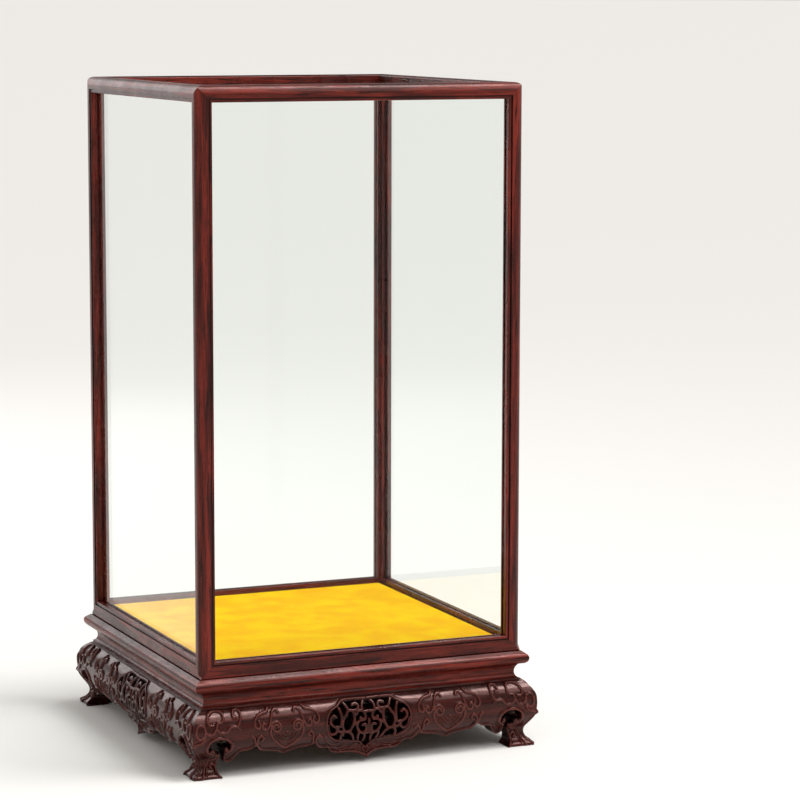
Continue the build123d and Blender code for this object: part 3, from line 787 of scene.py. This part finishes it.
def carved_apron_mesh():
    """The front apron: carved face, flat back, mitred ends and the walls of its openings."""
    arch = arch_outline()
    panel = np.vstack([smooth(PANEL), [(-9, 14.0), (-9, 55.0)]])
    strands = [smooth(points) for points in STRANDS]
    drawn = carving()
    places, faces = carve_half(arch, panel, strands, drawn)
    depth = cut_depth(places, arch, panel, strands)
    relief = raise_relief(places, depth, drawn, strands, panel)
    half_count = len(places)
    places, faces = mirrored(places, faces)
    relief = np.append(relief, relief[places[:half_count, 0] != 0])
    heights = places[:, 1]
    reach = ground(heights)
    slope = (ground(heights + 0.05) - ground(np.maximum(heights - 0.05, 0))) / 0.1
    slope[heights > QUIRK_LOW - 0.3] = 0
    tilt = 1 / np.sqrt(1 + slope ** 2)
    out, up = relief * tilt, -relief * slope * tilt
    at_end = np.clip(1 - (reach - np.abs(places[:, 0])) / 2.0, 0, 1)
    x = places[:, 0] + np.sign(places[:, 0]) * out * at_end
    z = np.clip(heights + up, 0, APRON_TOP)
    z[heights <= 0] = 0
    furthest = -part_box("apron_front")[0].y / MM - 0.05
    front = np.column_stack([np.clip(x, -furthest, furthest), -np.minimum(reach + out, furthest), z])

    edges, counts = unique_edges(faces)
    rim_edges = edges[counts == 1]
    rim, flat, back = back_faces(places, rim_edges, lambda p: cut_depth(p, arch, panel, strands))
    first = len(front)
    back_y = -np.maximum(APRON_BACK, np.abs(flat[:, 0]))
    back_points = np.column_stack([flat[:, 0], back_y, flat[:, 1]])
    index = np.arange(len(flat)) + first
    on_corner = np.abs(np.abs(places[rim, 0]) - ground(places[rim, 1])) < 1e-3
    index[: len(rim)][on_corner] = rim[on_corner]
    vertices = np.vstack([front, back_points])
    solid = [tuple(int(i) for i in face) for face in faces]
    solid += [tuple(int(index[i]) for i in face[::-1]) for face in back]
    twin = {int(v): int(index[k]) for k, v in enumerate(rim)}
    directed = {(int(a), int(b)) for face in faces for a, b in zip(face, np.roll(face, -1))}
    for a, b in rim_edges.tolist():
        if (b, a) in directed:
            a, b = b, a
        wall = []
        for corner in (b, a, twin[a], twin[b]):
            if corner not in wall:
                wall.append(corner)
        if len(wall) > 2:
            solid.append(tuple(wall))
    return vertices * MM, solid, np.append(relief, np.full(len(flat), -0.1))


def make_aprons():
    """The carved apron on all four sides, each with its own stretch of grain."""
    vertices, faces, relief = carved_apron_mesh()
    relief = relief.astype(np.float32)
    for k, (side, angle) in enumerate(SIDES.items()):
        turn = np.array(Matrix.Rotation(math.radians(angle), 3, "Z"))
        piece = add_mesh("carved_apron_" + side, vertices @ turn.T, faces)
        mesh = piece.data
        mesh.attributes.new("relief", "FLOAT", "POINT").data.foreach_set("value", relief)
        mesh.shade_smooth()
        mesh.set_sharp_from_angle(angle=math.radians(50))
        mesh.materials.append(rosewood("rosewood_apron_" + side, k % 2, 40 + k, carved=True))
        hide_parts("apron_" + side)
        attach(piece, "base")


# Velvet cover: rings of a rounded square, from the middle of its top to its turned-under edge
VELVET_THICKNESS = 0.9
TURNED_UNDER = 9.0
VELVET_CORNER = 2.4
RING_COUNT = 40


def rounded_square(half_side, corner, count):
    """Points of one ring, evenly spaced on each side and round each corner."""
    corner = min(corner, half_side * 0.98)
    straight = half_side - corner
    ring = []
    for quarter in range(4):
        turn = Matrix.Rotation(quarter * math.pi / 2, 2)
        for share in np.linspace(-1, 1, count, endpoint=False):
            ring.append(turn @ Vector((half_side, share * straight)))
        for angle in np.linspace(0, math.pi / 2, 6, endpoint=False):
            across, up = straight + corner * math.cos(angle), straight + corner * math.sin(angle)
            ring.append(turn @ Vector((across, up)))
    return ring


def make_velvet(look):
    low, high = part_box("velvet_cover")
    board_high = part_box("velvet_board")[1]
    outer, top, bottom = high.x / MM, high.z / MM, low.z / MM
    inner, ceiling = board_high.x / MM, board_high.z / MM
    edge = VELVET_THICKNESS * 1.6
    shares = np.linspace(0.02, 1, 46)[:-1] ** 0.9
    profile = [(outer * share, top) for share in shares if outer * share < outer - edge - 1]
    for angle in np.linspace(0, math.pi / 2, 7):
        half_side = outer - edge + edge * math.sin(angle)
        profile.append((half_side, top - edge + edge * math.cos(angle)))
    profile += [(outer, z) for z in np.linspace(top - edge, bottom + 0.8, 5)[1:]]
    profile += [(outer - 0.3, bottom + 0.2), (outer - 1.2, bottom), (outer - TURNED_UNDER, bottom)]
    profile += [(outer - TURNED_UNDER, bottom + 0.5), (inner + 0.05, bottom + 0.55)]
    profile += [(inner + 0.05, ceiling + 0.1), (inner - 2.0, ceiling + 0.15)]
    profile += [(inner * share, ceiling + 0.15) for share in (0.8, 0.5, 0.2, 0.02)]
    vertices, faces = [], []
    for half_side, height in profile:
        corner = VELVET_CORNER if half_side > 20 else half_side * 0.5
        ring = rounded_square(half_side, corner, RING_COUNT)
        size, start = len(ring), len(vertices)
        vertices += [Vector((p.x, p.y, height)) for p in ring]
        if start:
            last = start - size
            for k in range(size):
                after = (k + 1) % size
                faces.append((start + k, start + after, last + after, last + k))
    faces.append(tuple(range(size)))
    faces.append(tuple(range(len(vertices) - size, len(vertices)))[::-1])
    for vertex in vertices:
        if vertex.z > top - 0.5:
            ripple = math.sin(vertex.x * 0.11 + 1.3 * math.sin(vertex.y * 0.07))
            ripple *= math.sin(vertex.y * 0.09 + 0.7)
            from_edge = outer - 6 - max(abs(vertex.x), abs(vertex.y))
            vertex.z -= 0.18 * (1 + ripple) * min(1, max(0, from_edge / 30))
    piece = add_mesh("velvet_sheet", [v * MM for v in vertices], faces)
    piece.data.shade_smooth()
    piece.data.materials.append(look)
    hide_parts("velvet_cover")
    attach(piece, "base")


# Pieces that keep their own shape

def dress(node, look):
    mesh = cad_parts[node].data
    mesh.materials.clear()
    mesh.materials.append(look)


def dress_all():
    for k, side in enumerate(SIDES):
        axis = k % 2
        dress("moulding_" + side, rosewood("rosewood_moulding_" + side, axis, 3 + k))
        dress("top_rail_" + side, rosewood("rosewood_top_rail_" + side, axis, 11 + k, lined=True))
        dress("bottom_rail_" + side, rosewood("rosewood_bottom_rail_" + side, axis, 19 + k, lined=True))
    for k, corner in enumerate(CORNERS):
        dress("post_" + corner, rosewood("rosewood_post_" + corner, 2, 27 + k, lined=True))
    glass = clear_glass()
    for pane in list(SIDES) + ["top"]:
        dress("glass_" + pane, glass)
    inner = plain_wood("inner_wood", 1, (0.42, 0.24, 0.12, 1), (0.60, 0.40, 0.22, 1))
    for node in ["deck_panel", "batten_left", "batten_right", "hood_dowels", "moulding_splines"]:
        dress(node, inner)
    block = plain_wood("block_wood", 2, (0.36, 0.20, 0.10, 1), (0.52, 0.33, 0.18, 1))
    for corner in CORNERS:
        dress("corner_block_" + corner, block)
    fibreboard = plain_wood("fibreboard", 1, (0.40, 0.27, 0.15, 1), (0.50, 0.36, 0.22, 1), 900)
    dress("velvet_board", fibreboard)
    steel = zinc_steel()
    for node in ("batten_screws", "block_screws", "board_screws"):
        dress(node, steel)


make_camera()
make_studio()
make_floor()
dress_all()
make_aprons()
make_velvet(velvet())
